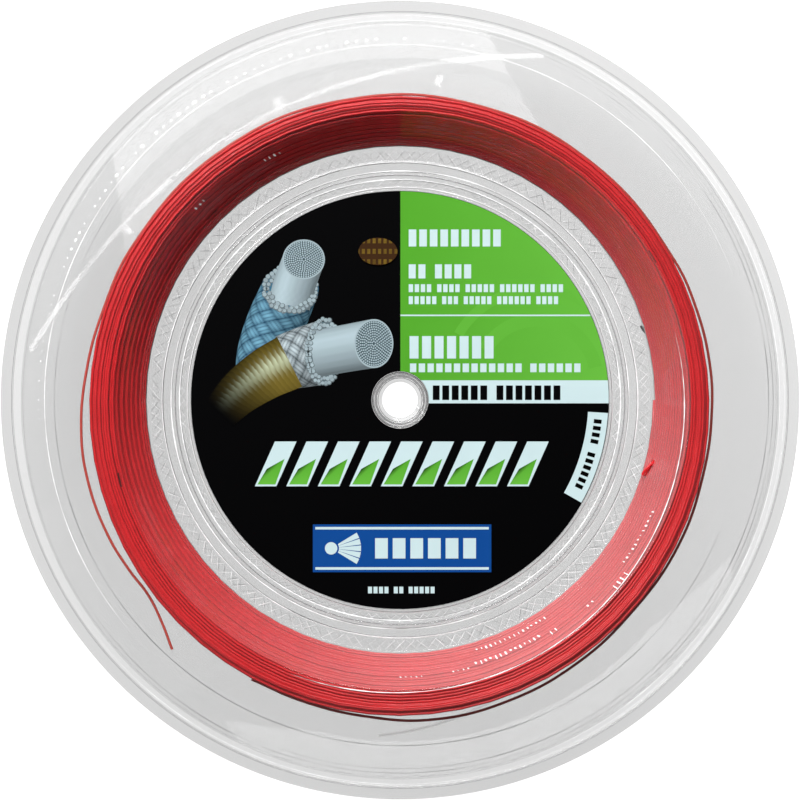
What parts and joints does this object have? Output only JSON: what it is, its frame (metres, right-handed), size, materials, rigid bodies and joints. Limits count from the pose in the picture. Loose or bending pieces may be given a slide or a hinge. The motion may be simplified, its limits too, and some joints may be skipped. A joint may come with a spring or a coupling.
{
  "type": "string reel",
  "caption": "Double reel of clear formed sheet with a divider, wound with red main string in front and white cross string behind.",
  "frame": {"origin": "on the reel's axis, in the plane of the rear lip that it rests on", "axes": "+Z along the reel's axis from the rear flange to the front one; +Y towards the top of the front label's print"},
  "size_m": [0.19, 0.19, 0.029],
  "materials": {
    "clear_sheet": "clear thermoformed plastic sheet, glossy, faintly grey",
    "main_string_red": "coated red string, satin gloss",
    "cross_string_white": "coated white string, satin gloss",
    "label_print": "printed label, black with a green quarter, semi-matt",
    "tab_print": "pale printed tab, semi-matt",
    "seal_foil": "patterned gold foil"
  },
  "bodies": {
    "root": {"front_shell": "clear_sheet", "rear_shell": "clear_sheet", "divider_disc": "clear_sheet", "main_string_winding": "main_string_red", "main_string_loose_turn": "main_string_red", "main_string_start": "main_string_red", "cross_string_winding": "cross_string_white", "cross_string_free_end": "cross_string_white", "cross_string_start": "cross_string_white", "front_label": "label_print", "rear_label": "label_print", "main_string_tab": "tab_print", "cross_string_tab": "tab_print", "oval_seal": "seal_foil"}
  },
  "joints": []
}
